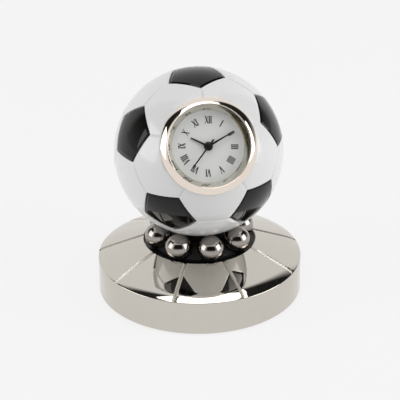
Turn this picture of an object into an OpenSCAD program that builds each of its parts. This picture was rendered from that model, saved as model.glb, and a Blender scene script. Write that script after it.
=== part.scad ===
// Desk clock: a football that turns on a ring of bearing balls over a round metal base.
// A quartz clock insert is pushed into the front of the football.
// Millimetres, +Z up, front towards -Y, origin at the centre of the underside.

/* [Base] */
// Radius of the base's upright rim
rim_r = 30.3; // [28:0.1:38]
// Height of the rim's upper edge
rim_h = 10.6; // [9:0.1:14]
// Rise of the cone from the rim to the ball recess
cone_rise = 5.8; // [3:0.1:8]
// Wall of the hollow casting
base_wall = 3; // [2:0.1:3.6]
// Number of radial grooves on the cone
groove_count = 9; // [5:1:16]
// Width of a radial groove
groove_w = 1; // [0.4:0.05:1.4]
// Turn of the grooves from the front, to the viewer's right
groove_turn = 16; // [0:1:40]
// Thickness of the felt pad
felt_t = 1.2; // [0.8:0.1:2]
// Height of the metal above the surface it stands on
felt_proud = 0.4; // [0.2:0.05:0.7]

/* [Bearing] */
// Radius of one bearing ball
bearing_ball_r = 4; // [3:0.1:4.6]
// Number of bearing balls
bearing_count = 8; // [6:1:9]
// Radius of the circle that the ball centres lie on
ring_r = 12.65; // [12:0.05:18]
// Turn of the ball ring from the front, to the viewer's right
ring_turn = 6; // [0:0.5:40]
// Depth of the ball track below the edge of the recess
race_drop = 1.6; // [0.3:0.05:1.8]
// Thickness of the tray under the balls
tray_t = 2; // [1.5:0.1:3]
// Radius of the pivot screw's shoulder
pivot_r = 2.5; // [1.8:0.1:3]
// Radial clearance of the balls to the track and the football
roll_gap = 0.05; // [0.02:0.01:0.1]
// Radial clearance of a shaft in its bearing
run_gap = 0.05; // [0.02:0.01:0.1]

/* [Football] */
// Radius of the football
football_r = 25; // [22:0.5:32]
// Wall of the football's two shells
shell_wall = 2.5; // [2:0.1:3.5]
// Angle of the dial's axis above the horizon
dial_rise = 30; // [10:1:45]
// Turn of the panel pattern round the dial's axis, anticlockwise from the front
pattern_turn = 1.5; // [-36:0.5:36]
// Width of a seam between two white panels
seam_w = 0.5; // [0.2:0.05:0.8]
// Thickness of a black panel
panel_t = 1; // [0.6:0.1:1.4]
// Width of the bevel round a black panel
panel_bevel = 0.9; // [0.5:0.05:1.3]

/* [Clock insert] */
// Outer radius of the bezel
bezel_r = 14.05; // [13.4:0.05:16]
// Width of the bezel's rounded ring
bezel_w = 1.95; // [1.4:0.05:2.4]
// Height of the bezel above its seat
bezel_rise = 2.3; // [1.8:0.1:3]
// Thickness of the glass
lens_t = 0.6; // [0.4:0.1:1]
// Depth of the dial's face below the bezel's seat
dial_drop = 1.1; // [1:0.1:2]
// Radius of the dial that shows inside the reflector ring
dial_show_r = 10.45; // [9.8:0.05:11]
// Turn of the dial, clockwise from the front
dial_turn = 5.4; // [-30:0.2:30]
// Depth of the case behind the bezel's seat
case_depth = 9.6; // [9.4:0.1:12]
// Outer radius of the case
case_r = 12.3; // [12.2:0.05:12.6]

/* [Hands] */
// Length of the hour hand
hour_len = 5.6; // [4:0.1:6.5]
// Length of the minute hand
minute_len = 8.55; // [6:0.1:9.5]
// Length of the second hand
second_len = 7.85; // [6:0.1:9.5]
// Place of the hour hand, in degrees clockwise from twelve
hour_at = 294; // [0:1:359]
// Place of the minute hand
minute_at = 59; // [0:1:359]
// Place of the second hand
second_at = 216; // [0:1:359]

/* [Hidden] */
$fn = 96;
// One overrun for every cut
over = 1;
// Gap between two rigid pieces that sit together
seat_gap = 0.05;

// Colours
chrome = [0.77, 0.75, 0.71];
black = [0.03, 0.03, 0.03];
white = [0.93, 0.93, 0.92];
champagne = [0.86, 0.78, 0.68];
brass = [0.78, 0.62, 0.32];
steel = [0.62, 0.62, 0.62];

// Base: heights and radii that follow from the driving sizes
rim_edge = 0.3;
felt_inset = 1.5;
cone_top = rim_h + cone_rise;
race_z = cone_top - race_drop;
bearing_z = race_z + roll_gap + bearing_ball_r;
edge_gap = 0.62;
recess_r = ring_r + sqrt(pow(bearing_ball_r + edge_gap, 2) - pow(bearing_z - cone_top, 2));
slope = atan2(cone_rise, rim_r - recess_r);
tray_z = race_z - tray_t;
bush_wall = 0.7;
bush_r = pivot_r + run_gap + bush_wall;
flange_t = 0.8;
flange_over = 1.4;
flange_r = bush_r + flange_over;
counterbore_gap = 0.5;
counterbore_r = flange_r + counterbore_gap;
bush_z = felt_t + 0.45 * (rim_h - felt_t);
boss_r = counterbore_r + base_wall;
function cone_z(r) = rim_h + (rim_r - r) * tan(slope);
function under_z(r) = cone_z(r) - base_wall / cos(slope);

// Ball track and cage
track_depth = 0.25;
track_r = 1.15 * bearing_ball_r;
tray_top = race_z + track_depth;
cage_lift = 0.25;
cage_z = tray_top + cage_lift;
cage_edge_t = 0.9;
cage_top_gap = 0.68;
cage_r = ring_r + 0.3 * bearing_ball_r;
cage_hub_r = ring_r - 1.2 * bearing_ball_r;
pocket_gap = 0.15;

// Football: its centre rests on the balls
football_z = bearing_z + sqrt(pow(football_r + bearing_ball_r + roll_gap, 2) - ring_r * ring_r);
// The cage's hub stays clear of the football, and the bush ends inside it
cage_hub_t = football_z - football_r - cage_top_gap - cage_z;
bush_top = cage_z + 0.6 * cage_hub_t;
seam_depth = seam_w / 2;
panel_sink = 0.1;
panel_gap = 0.06;
panel_bevel_depth = 0.35;
lip_len = 2;
// A pentagon's corner divides the line between two pentagon middles 1 to 2; a seam starts just inside it
seam_share = 2.12;
near_polar = atan(2);
corner_step = 72;
// Half-angle from a pentagon's middle to the middle of its edge
pentagon_in = 17.05;
// Corners of an icosahedron with one on the dial's axis: the middles of the pentagons
function spot(polar, turn) = [sin(polar) * cos(turn), sin(polar) * sin(turn), cos(polar)];
corners = concat([[0, 0, 1]],
    [for (k = [0 : 4]) spot(near_polar, 90 + corner_step * k)],
    [for (k = [0 : 4]) spot(180 - near_polar, 126 + corner_step * k)],
    [[0, 0, -1]]);
function unit(v) = v / norm(v);
// Neighbours among the corners of a unit icosahedron are 1.05 apart, the next 1.7
neighbour_share = 1.1;
function near(a, b) = a != b && norm(a - b) < neighbour_share;

// Pivot of the football
spot_lift = 0.6;
spot_z = football_z - football_r + panel_t + panel_sink + spot_lift;
insert_len = 6;
insert_wall = 1.2;
screw_core_r = pivot_r - 0.25 * pivot_r;
pivot_boss_wall = 2;
pivot_boss_r = screw_core_r + run_gap + insert_wall + pivot_boss_wall;
washer_t = 0.5;
washer_z = bush_z - flange_t - seat_gap - washer_t;
head_t = 2.2;
head_inset = 0.2;
head_r = flange_r - head_inset;
slot_w = 1;
slot_depth = 0.9;

// Clock insert: places along the dial's axis are counted from the bezel's seat
seat_d = sqrt(football_r * football_r - bezel_r * bezel_r);
bezel_in = bezel_r - bezel_w;
bezel_edge = 0.78;
lens_top = bezel_rise - bezel_edge;
lens_z = lens_top - lens_t;
gasket_w = 0.2;
lens_lip = 0.28;
lens_r = bezel_in + lens_lip;
case_flange_t = 0.4;
case_flange_inset = 0.8;
case_flange_r = bezel_r - case_flange_inset;
case_wall = 0.3;
case_step = 0.4;
case_in = case_r - case_wall;
case_low_in = case_in - case_step;
dial_t = 0.4;
dial_z = -dial_drop - dial_t;
grip_w = 0.42;
grip_len = 5;
grip_ribs = 24;
grip_rib_w = 0.6;
grip_rib_h = 0.2;
socket_gap = 0.05;
socket_r = case_r + grip_w + socket_gap;
socket_wall = 1.1;
socket_len = 8;
cap_t = 0.6;
cap_skirt_len = 1.2;
cap_skirt_w = 0.5;

// Movement: levels behind the seat, from the dial backwards
plate_t = 0.8;
holder_w = 1.9;
plate_r = case_low_in - seat_gap - holder_w;
wheel_t = 0.25;
stator_t = 0.4;
bridge_t = 0.6;
// Depths of the lower faces: the motion work's below the dial, the train's below the plate
motion_depth = 1.9;
hour_wheel_depth = 0.5;
minute_wheel_depth = 0.95;
centre_depth = 0.45;
third_depth = 1;
fifth_depth = 1.1;
fourth_depth = 1.55;
stator_depth = 2.15;
bridge_depth = 2.9;
plate_z = dial_z - motion_depth;
hour_wheel_z = dial_z - hour_wheel_depth;
minute_wheel_z = dial_z - minute_wheel_depth;
centre_wheel_z = plate_z - centre_depth;
third_wheel_z = plate_z - third_depth;
fourth_wheel_z = plate_z - fourth_depth;
fifth_wheel_z = plate_z - fifth_depth;
stator_z = plate_z - stator_depth;
bridge_z = plate_z - bridge_depth;
board_t = 0.3;
board_gap = 0.05;
board_z = bridge_z - board_gap - board_t;
pinion_over = 0.12;
pivot_hole_gap = 0.04;
arbor_r = 0.18;
tube_r = 0.38;

// Teeth: modules and counts; both wheels on the centre share one distance to the third arbor
going_mod = 0.125;
centre_teeth = 64;
pinion_teeth = 8;
third_teeth = 60;
third_mod = going_mod * (centre_teeth + pinion_teeth) / (third_teeth + pinion_teeth);
fast_mod = 0.125;
fourth_teeth = 60;
fifth_pinion_teeth = 12;
fifth_teeth = 36;
rotor_teeth = 6;
motion_mod = 0.15;
cannon_teeth = 10;
minute_teeth = 30;
hour_pinion_teeth = 8;
hour_teeth = 32;
setting_teeth = 10;
function apart(mod, a, b) = mod * (a + b) / 2;

// Directions of the arbors round the centre
third_dir = 200;
fifth_dir = 20;
rotor_dir = 80;
minute_dir = 110;
setting_dir = 150;
function at(d, dir) = [d * cos(dir), d * sin(dir), 0];
third_at = at(apart(going_mod, centre_teeth, pinion_teeth), third_dir);
fifth_at = at(apart(fast_mod, fourth_teeth, fifth_pinion_teeth), fifth_dir);
rotor_at = fifth_at + at(apart(fast_mod, fifth_teeth, rotor_teeth), rotor_dir);
minute_wheel_at = at(apart(motion_mod, cannon_teeth, minute_teeth), minute_dir);
setting_at = minute_wheel_at + at(apart(motion_mod, minute_teeth, setting_teeth), setting_dir);
// Turn of a wheel of b teeth so that it meshes with one of a teeth that is turned by phase
function mesh_turn(dir, phase, a, b) = dir + 180 + (dir - phase) * a / b + 180 / b;

// Hands: turns are counted anticlockwise from the viewer's right
twelve = 90 - dial_turn;
hand_t = 0.15;
hour_hand_lift = 0.35;
hand_step = 0.45;
hour_hand_z = -dial_drop + hour_hand_lift;
minute_hand_z = hour_hand_z + hand_step;
second_hand_z = minute_hand_z + hand_step;
hub_r = 1.25;
hour_hand_w = 0.5;
minute_hand_w = 0.55;
second_hand_w = 0.2;
tip_share = 0.75;
second_tail = 2.4;
pipe_wall = 0.17;
pipe_gap = 0.02;
cannon_in = tube_r + pipe_gap;
cannon_r = cannon_in + pipe_wall;
hour_pipe_in = cannon_r + run_gap;
hour_pipe_r = hour_pipe_in + pipe_wall;

// Pillars, cell, board and motor, placed on the plate
pillar_r = 0.9;
pillar_inset = 1.05;
pillar_ring = plate_r - pillar_inset;
pillar_dirs = [150, 245, 330];
screw_r = 0.35;
screw_head_r = 0.75;
screw_head_t = 0.4;
cell_r = 3.4;
cell_t = 2.6;
cell_at = [1.2, -5.4, 0];
cell_gap = 0.1;
cell_step = 0.25;
coil_y = 7;
coil_x = -0.3;
coil_len = 5.8;
coil_r = 0.74;
core_len = 9.4;
core_w = 0.9;
core_t = 0.4;
magnet_r = 0.9;
magnet_t = 0.5;
stator_gap = 0.2;
stator_w = 0.9;
crystal_r = 0.75;
crystal_len = 5;
crystal_at = [6.4, 0.6, 0];
chip_w = 2.4;
chip_t = 0.8;
chip_at = [1.6, 2.6, 0];
clip_w = 1.6;
clip_t = 0.15;
knob_r = 2;
knob_t = 1.6;
knob_ribs = 16;
knob_rib_r = 0.22;
knob_shaft_r = 0.5;

// Puts its children in the dial's frame: centre of the football, +Z out of the dial, +Y up it
module on_dial() {
    translate([0, 0, football_z]) rotate([90 - dial_rise, 0, 0]) children();
}

// Puts its children on the insert, with the bezel's seat at height zero
module on_insert() {
    on_dial() translate([0, 0, seat_d]) children();
}

// Puts its children on the insert at a height, over a place on the plate
module lift(z, place = [0, 0, 0]) {
    on_insert() translate([place[0], place[1], z]) children();
}

module ring(outer, inner, t) {
    difference() {
        cylinder(r = outer, h = t);
        translate([0, 0, -over]) cylinder(r = inner, h = t + 2 * over);
    }
}

// Watch teeth: radial flanks below the pitch circle, drawn in to the tip above it
module teeth2d(count, mod, thick_share) {
    pitch = mod * count / 2;
    half = thick_share * 180 / count;
    tooth_shares = [[-1.2, -1], [0, -1], [0.95, -0.4], [0.95, 0.4], [0, 1], [-1.2, 1]];
    points = [for (i = [0 : count - 1]) for (p = tooth_shares)
        let (r = pitch + p[0] * mod, a = 360 * i / count + p[1] * half) [r * cos(a), r * sin(a)]];
    polygon(points);
}

module wheel(count, mod, t, bore, spokes = 4) {
    root = mod * (count / 2 - 1.2);
    rim = root - 3 * mod;
    hub = bore + 2.4 * mod;
    linear_extrude(t) difference() {
        teeth2d(count, mod, 0.45);
        circle(r = bore);
        if (spokes > 0) difference() {
            circle(r = rim);
            circle(r = hub);
            for (k = [0 : spokes - 1]) rotate(360 * k / spokes + 180 / count)
                translate([0, -mod]) square([rim + mod, 2 * mod]);
        }
    }
}

module pinion(count, mod, t) {
    linear_extrude(t) teeth2d(count, mod, 0.4);
}

// Groove with slanted flanks along the great circle through a and b, w wide at the radius r and d deep
module arc_cut(a, b, r, w, d, turn) {
    side = unit(cross(a, b));
    ahead = cross(side, a);
    multmatrix([[a[0], ahead[0], side[0], 0], [a[1], ahead[1], side[1], 0], [a[2], ahead[2], side[2], 0]])
        rotate_extrude(angle = turn)
            polygon([[r - d, -w / 5], [r - d, w / 5], [r + d, 0.8 * w], [r + d, -0.8 * w]]);
}

// Pentagonal wedge from the centre of the football out to radius r, its flanks set in by gap.
// With a lean, the flanks tilt inwards above the height z instead
module wedge(k, r, gap, z = 0, lean = 0) {
    middle = corners[k];
    first = [for (c = corners) if (near(middle, c)) c][0];
    across = unit(cross(middle, first));
    ahead = cross(across, middle);
    multmatrix([[ahead[0], across[0], middle[0], 0], [ahead[1], across[1], middle[1], 0],
            [ahead[2], across[2], middle[2], 0]])
        intersection_for (s = [0 : 4]) rotate([0, 0, 36 + corner_step * s]) rotate([0, pentagon_in, 0])
            translate([-gap, 0, z]) rotate([0, -lean, 0]) translate([-2 * r, -r, -r]) cube(2 * r);
}

// Seams between white panels: each runs between two pentagons, and a little way into their pockets
module seams(side) {
    for (i = [0 : 10]) for (j = [i + 1 : 11]) {
        a = unit(seam_share * corners[i] + corners[j]);
        b = unit(corners[i] + seam_share * corners[j]);
        if (near(corners[i], corners[j]) && max(side * a[2], side * b[2]) > 0)
            arc_cut(a, b, football_r, seam_w, seam_depth, acos(a * b));
    }
}

// Pockets for the black panels
module pockets(side) {
    for (k = [1 : 11]) if (side * corners[k][2] > 0) difference() {
        wedge(k, football_r + over, 0);
        sphere(r = football_r - panel_t - panel_sink);
    }
}

module half_space(side, r) {
    translate([-r, -r, side > 0 ? 0 : -2 * r]) cube(2 * r);
}

module shell_half(side) {
    difference() {
        intersection() {
            sphere(r = football_r);
            half_space(side, football_r + over);
        }
        sphere(r = football_r - shell_wall);
    }
}

module football_front() {
    lip_r = football_r - shell_wall / 2;
    color(white) on_dial() rotate([0, 0, pattern_turn]) {
        difference() {
            union() {
                shell_half(1);
                intersection() {
                    sphere(r = football_r);
                    translate([0, 0, seat_d - socket_len])
                        cylinder(r = socket_r + socket_wall, h = socket_len);
                }
                translate([0, 0, -lip_len])
                    ring(lip_r - seat_gap, football_r - shell_wall, lip_len + seam_w);
            }
            translate([0, 0, seat_d]) cylinder(r = football_r, h = football_r);
            translate([0, 0, seat_d - socket_len - over]) cylinder(r = socket_r, h = socket_len + 2 * over);
            seams(1);
            pockets(1);
        }
    }
}

module football_rear() {
    lip_r = football_r - shell_wall / 2;
    color(white) difference() {
        union() {
            on_dial() rotate([0, 0, pattern_turn]) difference() {
                shell_half(-1);
                translate([0, 0, -lip_len - seat_gap])
                    cylinder(r = lip_r, h = lip_len + seat_gap + over);
                seams(-1);
                pockets(-1);
            }
            translate([0, 0, spot_z]) cylinder(r = pivot_boss_r, h = insert_len + shell_wall);
        }
        translate([0, 0, spot_z - over])
            cylinder(r = pivot_boss_r - pivot_boss_wall, h = insert_len + over);
        translate([0, 0, spot_z - 2 * panel_t]) cylinder(r = pivot_r + insert_wall, h = 2 * panel_t);
    }
}

// Eleven pentagons that follow the sphere, each with a flat bevel along its five edges
module black_panels() {
    face_r = football_r - panel_sink;
    lean = atan2(panel_bevel, panel_bevel_depth);
    color(black) difference() {
        on_dial() rotate([0, 0, pattern_turn]) for (k = [1 : 11]) difference() {
            intersection() {
                sphere(r = face_r);
                wedge(k, football_r, panel_gap);
                wedge(k, football_r, panel_gap, face_r - panel_bevel_depth, lean);
            }
            sphere(r = face_r - panel_t + seat_gap);
        }
        translate([0, 0, spot_z - 2 * panel_t]) cylinder(r = pivot_r + 2 * pocket_gap, h = 3 * panel_t);
    }
}

module cone_groove() {
    translate([recess_r, 0, cone_top]) rotate([0, slope, 0]) translate([-over, 0, 0]) rotate([90, 0, 90])
        linear_extrude(norm([rim_r - recess_r, cone_rise]) + 2 * over)
            polygon([[-groove_w, groove_w / 2], [groove_w, groove_w / 2], [0, -groove_w / 2]]);
}

module base_casting() {
    rim_in = rim_r - base_wall;
    step_r = recess_r + base_wall;
    color(chrome) difference() {
        rotate_extrude() polygon([[0, felt_proud], [rim_r - rim_edge, felt_proud],
            [rim_r, felt_proud + rim_edge], [rim_r, rim_h - rim_edge],
            [rim_r - rim_edge, cone_z(rim_r - rim_edge)], [recess_r, cone_top], [0, cone_top]]);
        rotate_extrude() polygon([[boss_r, 0], [rim_in, 0], [rim_in, under_z(rim_in)],
            [step_r, under_z(step_r)], [recess_r, tray_z - base_wall], [boss_r, tray_z - base_wall]]);
        cylinder(r = rim_r - felt_inset + seat_gap, h = felt_t + seat_gap);
        cylinder(r = counterbore_r, h = bush_z);
        cylinder(r = bush_r, h = cone_top);
        translate([0, 0, tray_z]) cylinder(r = recess_r, h = tray_t + race_drop + over);
        for (k = [0 : groove_count - 1])
            rotate([0, 0, groove_turn - 90 + 360 * k / groove_count]) cone_groove();
    }
}

module felt_pad() {
    color([0.08, 0.08, 0.09]) cylinder(r = rim_r - felt_inset, h = felt_t);
}

module ball_tray() {
    color(black) rotate_extrude() difference() {
        translate([bush_r + seat_gap, tray_z])
            square([recess_r - bush_r - 2 * seat_gap, tray_top - tray_z]);
        translate([ring_r, race_z + track_r]) circle(r = track_r);
    }
}

module pivot_bush() {
    color(brass) difference() {
        union() {
            translate([0, 0, bush_z - flange_t]) cylinder(r = flange_r, h = flange_t);
            translate([0, 0, bush_z - flange_t])
                cylinder(r = bush_r - seat_gap / 2, h = bush_top - bush_z + flange_t);
        }
        cylinder(r = pivot_r + run_gap, h = bush_top + over);
    }
}

module at_balls() {
    for (k = [0 : bearing_count - 1]) rotate([0, 0, ring_turn - 90 + 360 * k / bearing_count])
        translate([ring_r, 0, bearing_z]) children();
}

module ball_cage() {
    bore = bush_r + run_gap;
    color(black) difference() {
        rotate_extrude() polygon([[bore, cage_z], [cage_r, cage_z], [cage_r, cage_z + cage_edge_t],
            [cage_hub_r, cage_z + cage_hub_t], [bore, cage_z + cage_hub_t]]);
        at_balls() sphere(r = bearing_ball_r + pocket_gap, $fn = 90);
    }
}

module bearing_balls() {
    color(steel) at_balls() sphere(r = bearing_ball_r);
}

module pivot_screw() {
    head_z = washer_z - seat_gap - head_t;
    color(steel) difference() {
        union() {
            translate([0, 0, head_z]) cylinder(r = head_r, h = head_t);
            translate([0, 0, head_z]) cylinder(r = pivot_r, h = spot_z - head_z - seat_gap);
            translate([0, 0, head_z])
                cylinder(r = screw_core_r, h = spot_z + insert_len - head_z - slot_depth);
        }
        translate([-head_r - over, -slot_w / 2, head_z - over])
            cube([2 * (head_r + over), slot_w, over + slot_depth]);
    }
}

module pivot_washer() {
    color(white) translate([0, 0, washer_z]) ring(head_r, pivot_r + run_gap, washer_t);
}

module pivot_insert() {
    bore = screw_core_r + run_gap;
    color(brass) translate([0, 0, spot_z])
        ring(bore + insert_wall - seat_gap, bore, insert_len - seat_gap);
}

// Quarter-round ring, highest at the glass, over the case's flange
module bezel() {
    color(champagne) lift(0) rotate_extrude() difference() {
        union() {
            translate([bezel_in, 0]) square([bezel_w, bezel_rise - bezel_w]);
            intersection() {
                translate([bezel_in, bezel_rise - bezel_w]) circle(r = bezel_w);
                translate([bezel_in, 0]) square([bezel_w, bezel_rise]);
            }
        }
        translate([0, -over]) square([case_flange_r + seat_gap, over + case_flange_t + 2 * seat_gap]);
        translate([0, -over]) square([lens_r + gasket_w + seat_gap, over + lens_top + seat_gap]);
    }
}

module lens() {
    color([0.85, 0.9, 0.92, 0.3]) lift(lens_z) cylinder(r = lens_r, h = lens_t);
}

module lens_gasket() {
    color(white) lift(lens_z) ring(lens_r + gasket_w, lens_r + seat_gap / 2, lens_t);
}

module reflector_ring() {
    top = lens_z - seat_gap;
    wall_r = case_in - seat_gap;
    color(chrome) lift(0) rotate_extrude() polygon([[dial_show_r, -dial_drop], [wall_r, -dial_drop],
        [wall_r, case_flange_t + seat_gap], [lens_r, case_flange_t + seat_gap], [lens_r, top],
        [bezel_in - seat_gap, top]]);
}

module dial() {
    color([0.82, 0.82, 0.81]) lift(dial_z)
        ring(case_in - seat_gap, hour_pipe_r + 2 * run_gap, dial_t - seat_gap);
}

module insert_case() {
    color(steel) lift(0) rotate_extrude() polygon([[case_low_in, -case_depth], [case_r, -case_depth],
        [case_r, seat_gap], [case_flange_r, seat_gap], [case_flange_r, case_flange_t],
        [case_in, case_flange_t], [case_in, dial_z - seat_gap], [case_low_in, dial_z - seat_gap]]);
}

module grip_ring() {
    low = dial_z - grip_len;
    color([0.85, 0.85, 0.8]) lift(low) {
        linear_extrude(grip_len) difference() {
            union() {
                circle(r = case_r + grip_w - grip_rib_h);
                for (k = [0 : grip_ribs - 1]) rotate(360 * k / grip_ribs)
                    translate([case_r, -grip_rib_w / 2]) square([grip_w - seat_gap, grip_rib_w]);
            }
            circle(r = case_r);
        }
    }
}

module case_back() {
    color(steel) lift(-case_depth - cap_t) difference() {
        union() {
            cylinder(r = case_r, h = cap_t);
            ring(case_low_in - seat_gap, case_low_in - seat_gap - cap_skirt_w, cap_t + cap_skirt_len);
        }
        translate(setting_at - [0, 0, over]) cylinder(r = knob_shaft_r + run_gap, h = cap_t + 2 * over);
    }
}

module movement_holder() {
    color(white) lift(bridge_z)
        ring(case_low_in - seat_gap, plate_r + seat_gap, dial_z - seat_gap - bridge_z);
}

module main_plate() {
    pillar_len = plate_z - bridge_z - bridge_t;
    color(brass) difference() {
        union() {
            lift(plate_z) cylinder(r = plate_r, h = plate_t);
            for (a = pillar_dirs) lift(bridge_z + bridge_t, at(pillar_ring, a))
                cylinder(r = pillar_r, h = pillar_len + plate_t / 2);
        }
        lift(plate_z - over) cylinder(r = tube_r + pivot_hole_gap, h = plate_t + 2 * over);
        lift(plate_z - over, setting_at) cylinder(r = knob_shaft_r + run_gap, h = plate_t + 2 * over);
        for (place = [third_at, fifth_at, rotor_at, minute_wheel_at])
            lift(plate_z - over, place) cylinder(r = arbor_r + pivot_hole_gap, h = plate_t + 2 * over);
        for (a = pillar_dirs) lift(bridge_z, at(pillar_ring, a))
            cylinder(r = screw_r + pivot_hole_gap, h = plate_z - bridge_z);
    }
}

module train_bridge() {
    color(brass) difference() {
        lift(bridge_z) cylinder(r = plate_r, h = bridge_t - seat_gap);
        lift(bridge_z - over, setting_at) cylinder(r = knob_shaft_r + run_gap, h = bridge_t + 2 * over);
        for (place = [[0, 0, 0], third_at, fifth_at, rotor_at])
            lift(bridge_z - over, place) cylinder(r = arbor_r + pivot_hole_gap, h = bridge_t + 2 * over);
        for (a = pillar_dirs) lift(bridge_z - over, at(pillar_ring, a))
            cylinder(r = screw_r + pivot_hole_gap, h = bridge_t + 2 * over);
    }
}

module bridge_screws() {
    shank = plate_z - bridge_z - over;
    color(steel) for (a = pillar_dirs) lift(bridge_z - screw_head_t, at(pillar_ring, a)) difference() {
        union() {
            cylinder(r = screw_head_r, h = screw_head_t - seat_gap / 2);
            cylinder(r = screw_r, h = screw_head_t + shank);
        }
        translate([-screw_head_r - over, -screw_r / 4, -over])
            cube([2 * (screw_head_r + over), screw_r / 2, over + screw_head_t / 2]);
    }
}

module circuit_board() {
    hole_r = screw_head_r + 2 * pocket_gap;
    color([0.1, 0.35, 0.18]) difference() {
        lift(board_z) cylinder(r = plate_r - pillar_r / 2, h = board_t);
        lift(board_z - over, cell_at) cylinder(r = cell_r + pocket_gap, h = board_t + 2 * over);
        lift(board_z - over, setting_at) cylinder(r = 2 * knob_shaft_r, h = board_t + 2 * over);
        for (a = pillar_dirs)
            lift(board_z - over, at(pillar_ring, a)) cylinder(r = hole_r, h = board_t + 2 * over);
    }
}

module chip() {
    color(black) lift(board_z - chip_t, chip_at) translate([-chip_w / 2, -chip_w / 2, 0])
        cube([chip_w, chip_w, chip_t - seat_gap]);
}

module quartz_crystal() {
    color(steel) lift(board_z - crystal_r - seat_gap, crystal_at) rotate([90, 0, 0])
        translate([0, 0, -crystal_len / 2]) cylinder(r = crystal_r, h = crystal_len);
}

module coil_core() {
    color(steel) lift(stator_z + stator_t + seat_gap / 2, [coil_x - core_len / 2, coil_y - core_w / 2])
        cube([core_len, core_w, core_t]);
}

module coil_winding() {
    middle = stator_z + stator_t + seat_gap / 2 + core_t / 2;
    color([0.72, 0.38, 0.2]) lift(middle, [coil_x, coil_y]) difference() {
        translate([-coil_len / 2, 0, 0]) rotate([0, 90, 0]) cylinder(r = coil_r, h = coil_len);
        translate([-coil_len, -core_w / 2 - seat_gap, -core_t / 2 - seat_gap])
            cube([2 * coil_len, core_w + 2 * seat_gap, core_t + 2 * seat_gap]);
    }
}

module bar2d(a, b, w) {
    run = b - a;
    translate([a[0], a[1]]) rotate(atan2(run[1], run[0])) translate([0, -w / 2]) square([norm(run), w]);
    translate([a[0], a[1]]) circle(r = w / 2);
    translate([b[0], b[1]]) circle(r = w / 2);
}

module stator() {
    reach = (core_len - core_w) / 2;
    right = [coil_x + reach, coil_y];
    left = [coil_x - reach, coil_y];
    eye = [rotor_at[0], rotor_at[1]];
    elbow = [left[0], coil_y - 1.5 * stator_w];
    color(steel) lift(stator_z) linear_extrude(stator_t) difference() {
        union() {
            translate(eye) circle(r = magnet_r + stator_gap + stator_w / 2);
            bar2d(eye, right, stator_w);
            bar2d(left, elbow, stator_w);
            bar2d(elbow, eye, stator_w);
        }
        translate(eye) circle(r = magnet_r + stator_gap);
    }
}

module button_cell() {
    color(steel) lift(bridge_z - cell_gap - cell_t, cell_at) {
        cylinder(r = cell_r, h = cell_t - cell_step);
        cylinder(r = cell_r - 2 * cell_step, h = cell_t);
    }
}

module battery_clip() {
    back = bridge_z - cell_gap - cell_t - clip_t - seat_gap;
    foot = at(pillar_ring, pillar_dirs[1]);
    run = cell_at - foot;
    color(brass) lift(back, foot) rotate([0, 0, atan2(run[1], run[0])]) {
        translate([-clip_w / 2, -clip_w / 2, 0]) cube([norm(run) + clip_w / 2, clip_w, clip_t]);
        translate([-clip_w / 2, -clip_w / 2, 0]) cube([clip_t, clip_w, board_z - back - seat_gap]);
    }
}

// Arbor between two heights on the insert
module arbor(low, high) {
    translate([0, 0, low]) cylinder(r = arbor_r, h = high - low);
}

centre_turn = 0;
third_pinion_turn = mesh_turn(third_dir, centre_turn, centre_teeth, pinion_teeth);
fourth_pinion_turn = mesh_turn(third_dir + 180, third_pinion_turn, third_teeth, pinion_teeth);
fifth_pinion_turn = mesh_turn(fifth_dir, fourth_pinion_turn, fourth_teeth, fifth_pinion_teeth);
rotor_turn = mesh_turn(rotor_dir, fifth_pinion_turn, fifth_teeth, rotor_teeth);
cannon_turn = 0;
minute_wheel_turn = mesh_turn(minute_dir, cannon_turn, cannon_teeth, minute_teeth);
hour_wheel_turn = mesh_turn(minute_dir + 180, minute_wheel_turn, hour_pinion_teeth, hour_teeth);
setting_turn = mesh_turn(setting_dir, minute_wheel_turn, minute_teeth, setting_teeth);

module centre_wheel() {
    tube_top = minute_hand_z + 2 * hand_t;
    color(brass) lift(0) {
        translate([0, 0, centre_wheel_z]) rotate([0, 0, centre_turn])
            wheel(centre_teeth, going_mod, wheel_t, arbor_r + pivot_hole_gap);
        translate([0, 0, centre_wheel_z]) ring(tube_r, arbor_r + pivot_hole_gap, tube_top - centre_wheel_z);
    }
}

module cannon_pinion() {
    low = plate_z + plate_t + seat_gap;
    color(steel) lift(0) difference() {
        union() {
            translate([0, 0, low]) rotate([0, 0, cannon_turn])
                pinion(cannon_teeth, motion_mod, hour_wheel_z - pinion_over - low);
            translate([0, 0, low]) cylinder(r = cannon_r, h = minute_hand_z - low);
        }
        translate([0, 0, low - over]) cylinder(r = cannon_in, h = minute_hand_z - low + 2 * over);
    }
}

module hour_wheel() {
    color(brass) lift(hour_wheel_z) {
        rotate([0, 0, hour_wheel_turn]) wheel(hour_teeth, motion_mod, wheel_t, hour_pipe_in, 0);
        ring(hour_pipe_r, hour_pipe_in, hour_hand_z - hour_wheel_z);
    }
}

module minute_wheel() {
    low = plate_z + plate_t / 2;
    top = hour_wheel_z + wheel_t;
    color(brass) lift(0, minute_wheel_at) {
        translate([0, 0, minute_wheel_z]) rotate([0, 0, minute_wheel_turn])
            wheel(minute_teeth, motion_mod, wheel_t, 0, 0);
        translate([0, 0, minute_wheel_z]) rotate([0, 0, minute_wheel_turn])
            pinion(hour_pinion_teeth, motion_mod, top + pinion_over / 2 - minute_wheel_z);
        arbor(low, top + pinion_over);
    }
}

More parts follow.
